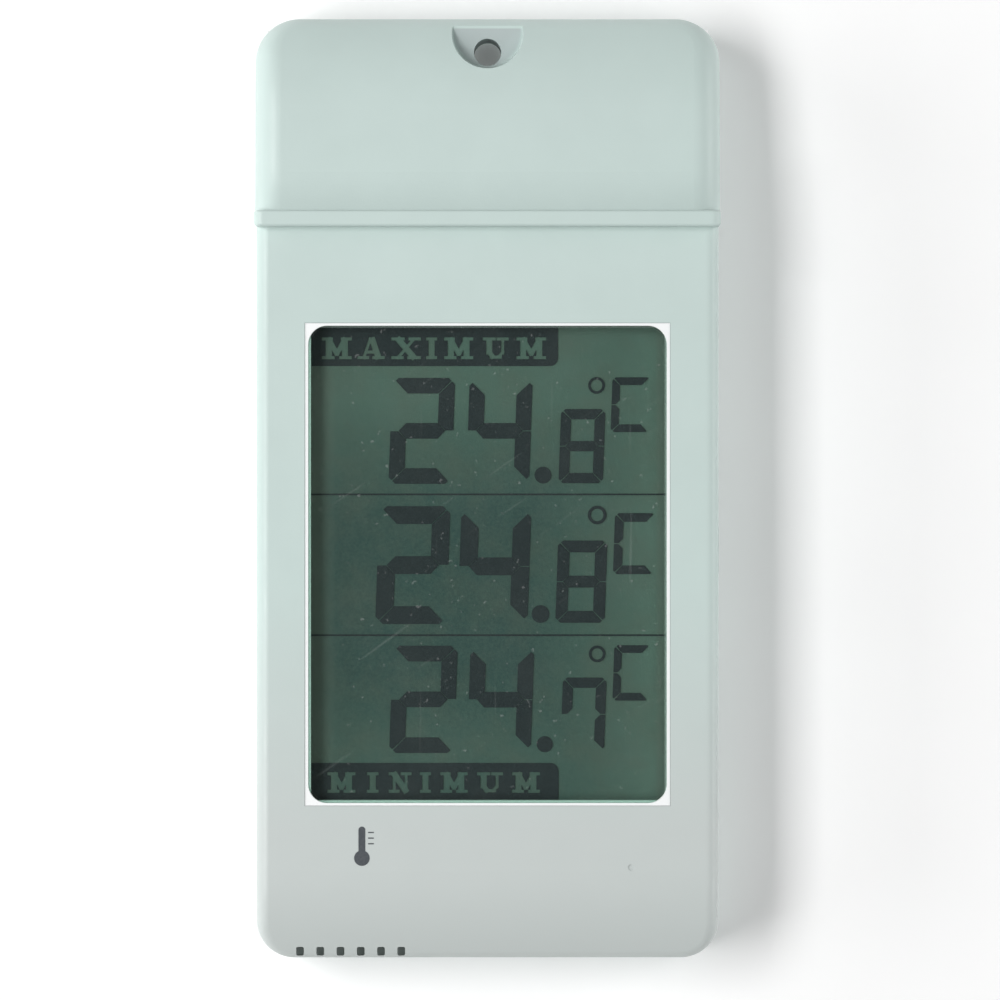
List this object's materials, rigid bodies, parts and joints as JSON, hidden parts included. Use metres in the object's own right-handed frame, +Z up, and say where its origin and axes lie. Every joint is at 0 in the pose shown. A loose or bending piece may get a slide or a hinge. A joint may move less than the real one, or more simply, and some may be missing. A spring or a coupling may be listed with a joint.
{
  "type": "wall thermometer",
  "caption": "Slim upright digital thermometer with a rain hood, a tall framed display, bottom vents and a hanging hole, opened into its case, display stack, board and battery.",
  "frame": {"origin": "axis of the hanging hole, on the plane of the wall that the thermometer hangs on", "axes": "+Z up along the case, +Y into the wall, the display faces -Y, +X to the right seen from the front"},
  "size_m": [0.0746, 0.0216, 0.151],
  "materials": {
    "case_plastic": "semi-gloss moulded",
    "cover_plastic": "fine spark texture",
    "door_plastic": "fine spark texture",
    "rim_plastic": "smooth",
    "clear_lens": "polished clear",
    "polariser": "smooth",
    "display_glass": "polished",
    "display_ink": "flat dark",
    "display_film": "satin grey-green",
    "holder_plastic": "moulded",
    "connector_rubber": "soft striped",
    "board": "solder mask",
    "black_resin": "glossy resin",
    "tinned_metal": "satin",
    "chip_ceramic": "fired",
    "capacitor_sleeve": "shrunk sleeve",
    "button_plastic": "satin",
    "switch_plastic": "moulded",
    "switch_plunger": "moulded",
    "switch_shell": "pressed sheet",
    "sensor_wire": "enamelled",
    "cell_sleeve": "printed film",
    "contact_metal": "nickel plated",
    "red_wire": "insulated",
    "black_wire": "insulated",
    "screw_metal": "zinc plated"
  },
  "bodies": {
    "case": {"front_shell": "case_plastic", "rear_cover": "cover_plastic", "window_rim": "rim_plastic", "display_lens": "clear_lens", "lcd_front_polariser": "polariser", "lcd_front_glass": "display_glass", "lcd_segments": "display_ink", "lcd_rear_glass": "display_glass", "lcd_rear_film": "display_film", "lcd_holder": "holder_plastic", "elastomer_connector_upper": "connector_rubber", "elastomer_connector_lower": "connector_rubber", "circuit_board": "board", "controller_blob": "black_resin", "crystal": "tinned_metal", "chip_parts": "chip_ceramic", "capacitor": "capacitor_sleeve", "reset_switch_body": "switch_plastic", "unit_switch_body": "switch_shell", "thermistor_bead": "black_resin", "thermistor_leads": "sensor_wire", "battery_cell": "tinned_metal", "battery_sleeve": "cell_sleeve", "battery_nub": "tinned_metal", "contact_plate_positive": "contact_metal", "contact_plate_negative": "contact_metal", "contact_spring": "contact_metal", "battery_lead_positive": "red_wire", "battery_lead_negative": "black_wire", "case_screws": "screw_metal", "board_screws": "screw_metal"},
    "button": {"reset_button": "button_plastic", "reset_switch_plunger": "switch_plunger"},
    "selector": {"unit_selector_knob": "button_plastic", "unit_switch_lever": "switch_plunger"},
    "door": {"battery_door": "door_plastic"}
  },
  "joints": [
    {"name": "reset_press", "type": "slide", "parent": "case", "child": "button", "axis": [-1, 0, 0], "range_m": [0, 0.0005], "stiffness_N_per_m": 2000},
    {"name": "unit_slide", "type": "slide", "parent": "case", "child": "selector", "axis": [1, 0, 0], "range_m": [0, 0.002]},
    {"name": "door_swing", "type": "hinge", "parent": "case", "child": "door", "pos_m": [0, -0.00075, -0.13845], "axis": [-1, 0, 0], "range_deg": [0, 75]}
  ]
}
